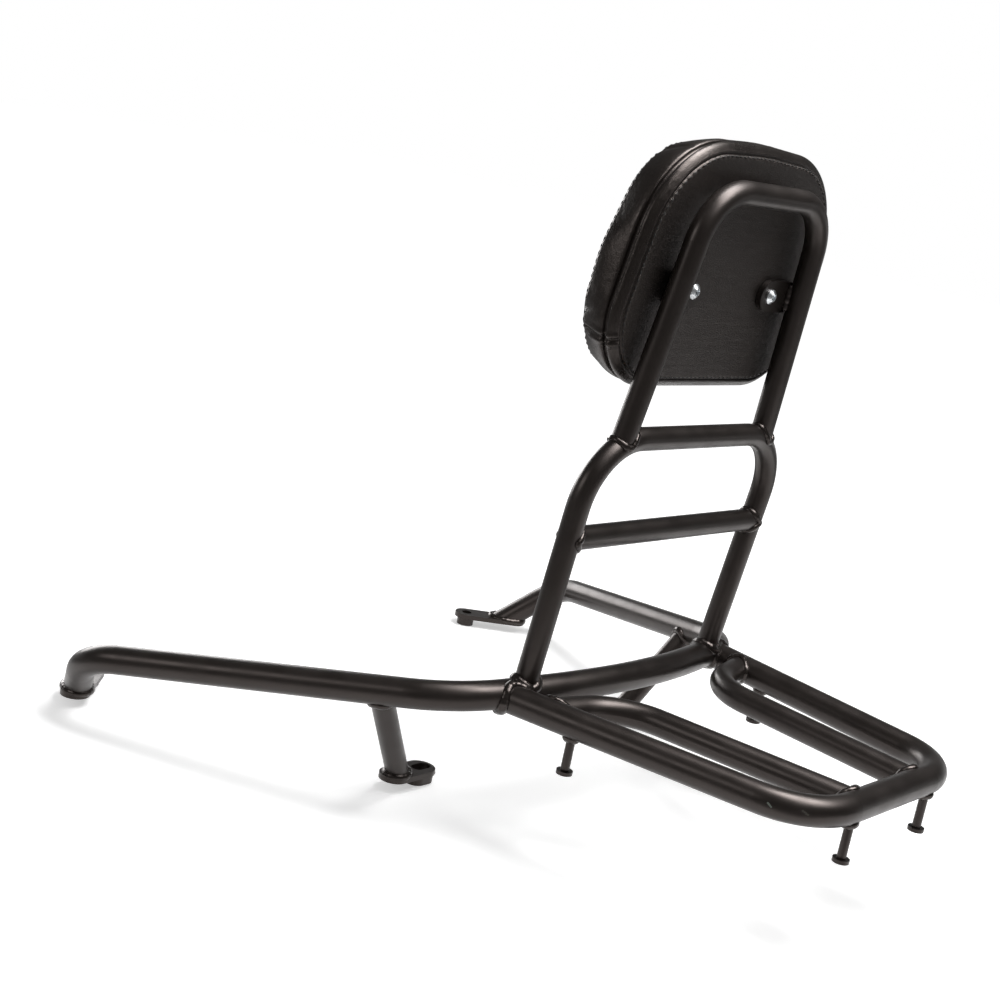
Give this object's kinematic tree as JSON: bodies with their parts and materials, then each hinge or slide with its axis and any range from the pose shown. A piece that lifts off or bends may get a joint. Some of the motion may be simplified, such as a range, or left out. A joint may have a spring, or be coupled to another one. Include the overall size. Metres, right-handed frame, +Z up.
{
  "type": "scooter rear rack with backrest",
  "caption": "Bent-tube rear carrier for a scooter: a bow bolts round the seat and carries a tapered luggage rack with strap pegs and a leaning padded backrest on stacked hoops.",
  "frame": {"origin": "midway between the two rear mounting slots, on the plane the four spacer bushes stand on", "axes": "+X to the rider's right, +Y forwards along the scooter, +Z up"},
  "size_m": [0.5414, 0.553, 0.4732],
  "materials": {
    "frame_coat": "satin black powder coat",
    "pad_cover": "black grained leatherette",
    "pad_board": "plain plywood",
    "zinc": "bright zinc plate"
  },
  "bodies": {
    "root": {"bow_tube": "frame_coat", "rack_loop_tube": "frame_coat", "lower_hoop": "frame_coat", "crossbar": "frame_coat", "upper_hoop": "frame_coat", "right_inner_tube": "frame_coat", "right_front_peg": "frame_coat", "right_rear_peg": "frame_coat", "right_front_plate": "frame_coat", "right_front_bush": "frame_coat", "right_rear_plate": "frame_coat", "right_rear_bush": "frame_coat", "right_strut": "frame_coat", "right_pad_tab": "frame_coat", "left_inner_tube": "frame_coat", "left_front_peg": "frame_coat", "left_rear_peg": "frame_coat", "left_front_plate": "frame_coat", "left_front_bush": "frame_coat", "left_rear_plate": "frame_coat", "left_rear_bush": "frame_coat", "left_strut": "frame_coat", "left_pad_tab": "frame_coat", "pad_cushion": "pad_cover", "pad_backboard": "pad_board", "right_tee_nut": "zinc", "right_pad_screw": "zinc", "left_tee_nut": "zinc", "left_pad_screw": "zinc"}
  },
  "joints": []
}
